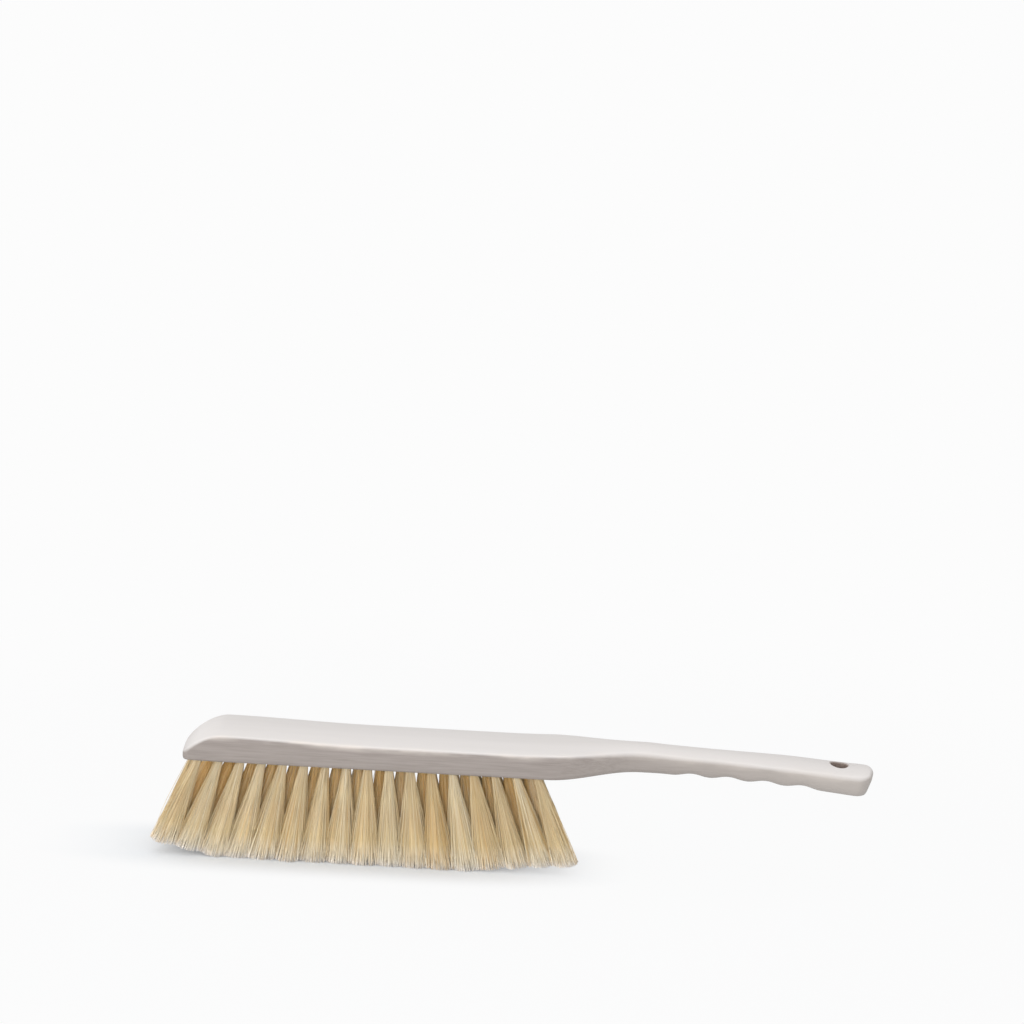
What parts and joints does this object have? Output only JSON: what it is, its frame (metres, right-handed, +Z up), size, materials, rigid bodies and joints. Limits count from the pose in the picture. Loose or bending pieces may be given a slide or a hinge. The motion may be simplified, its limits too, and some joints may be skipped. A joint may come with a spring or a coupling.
{
  "type": "furniture brush",
  "caption": "Long hand brush with a whitewashed wooden block and curved grip, a hanging hole, and staggered rows of cream bristle tufts that fan out to flat tips.",
  "frame": {"origin": "on the surface that the bristle tips stand on, below the middle of the brush's whole length and width", "axes": "+X along the brush towards the hanging end of the handle, +Z up from the bristle tips to the wood"},
  "size_m": [0.4, 0.0408, 0.075],
  "materials": {
    "wood": "matt whitewash",
    "bristle": "satin fibre",
    "steel": "bright drawn wire"
  },
  "bodies": {
    "root": {"block_and_handle": "wood", "tuft_front_01": "bristle", "tuft_front_02": "bristle", "tuft_front_03": "bristle", "tuft_front_04": "bristle", "tuft_front_05": "bristle", "tuft_front_06": "bristle", "tuft_front_07": "bristle", "tuft_front_08": "bristle", "tuft_front_09": "bristle", "tuft_front_10": "bristle", "tuft_front_11": "bristle", "tuft_front_12": "bristle", "tuft_front_13": "bristle", "tuft_front_14": "bristle", "tuft_front_15": "bristle", "tuft_front_16": "bristle", "tuft_front_17": "bristle", "tuft_middle_01": "bristle", "tuft_middle_02": "bristle", "tuft_middle_03": "bristle", "tuft_middle_04": "bristle", "tuft_middle_05": "bristle", "tuft_middle_06": "bristle", "tuft_middle_07": "bristle", "tuft_middle_08": "bristle", "tuft_middle_09": "bristle", "tuft_middle_10": "bristle", "tuft_middle_11": "bristle", "tuft_middle_12": "bristle", "tuft_middle_13": "bristle", "tuft_middle_14": "bristle", "tuft_middle_15": "bristle", "tuft_middle_16": "bristle", "tuft_back_01": "bristle", "tuft_back_02": "bristle", "tuft_back_03": "bristle", "tuft_back_04": "bristle", "tuft_back_05": "bristle", "tuft_back_06": "bristle", "tuft_back_07": "bristle", "tuft_back_08": "bristle", "tuft_back_09": "bristle", "tuft_back_10": "bristle", "tuft_back_11": "bristle", "tuft_back_12": "bristle", "tuft_back_13": "bristle", "tuft_back_14": "bristle", "tuft_back_15": "bristle", "tuft_back_16": "bristle", "tuft_back_17": "bristle"}
  },
  "joints": []
}
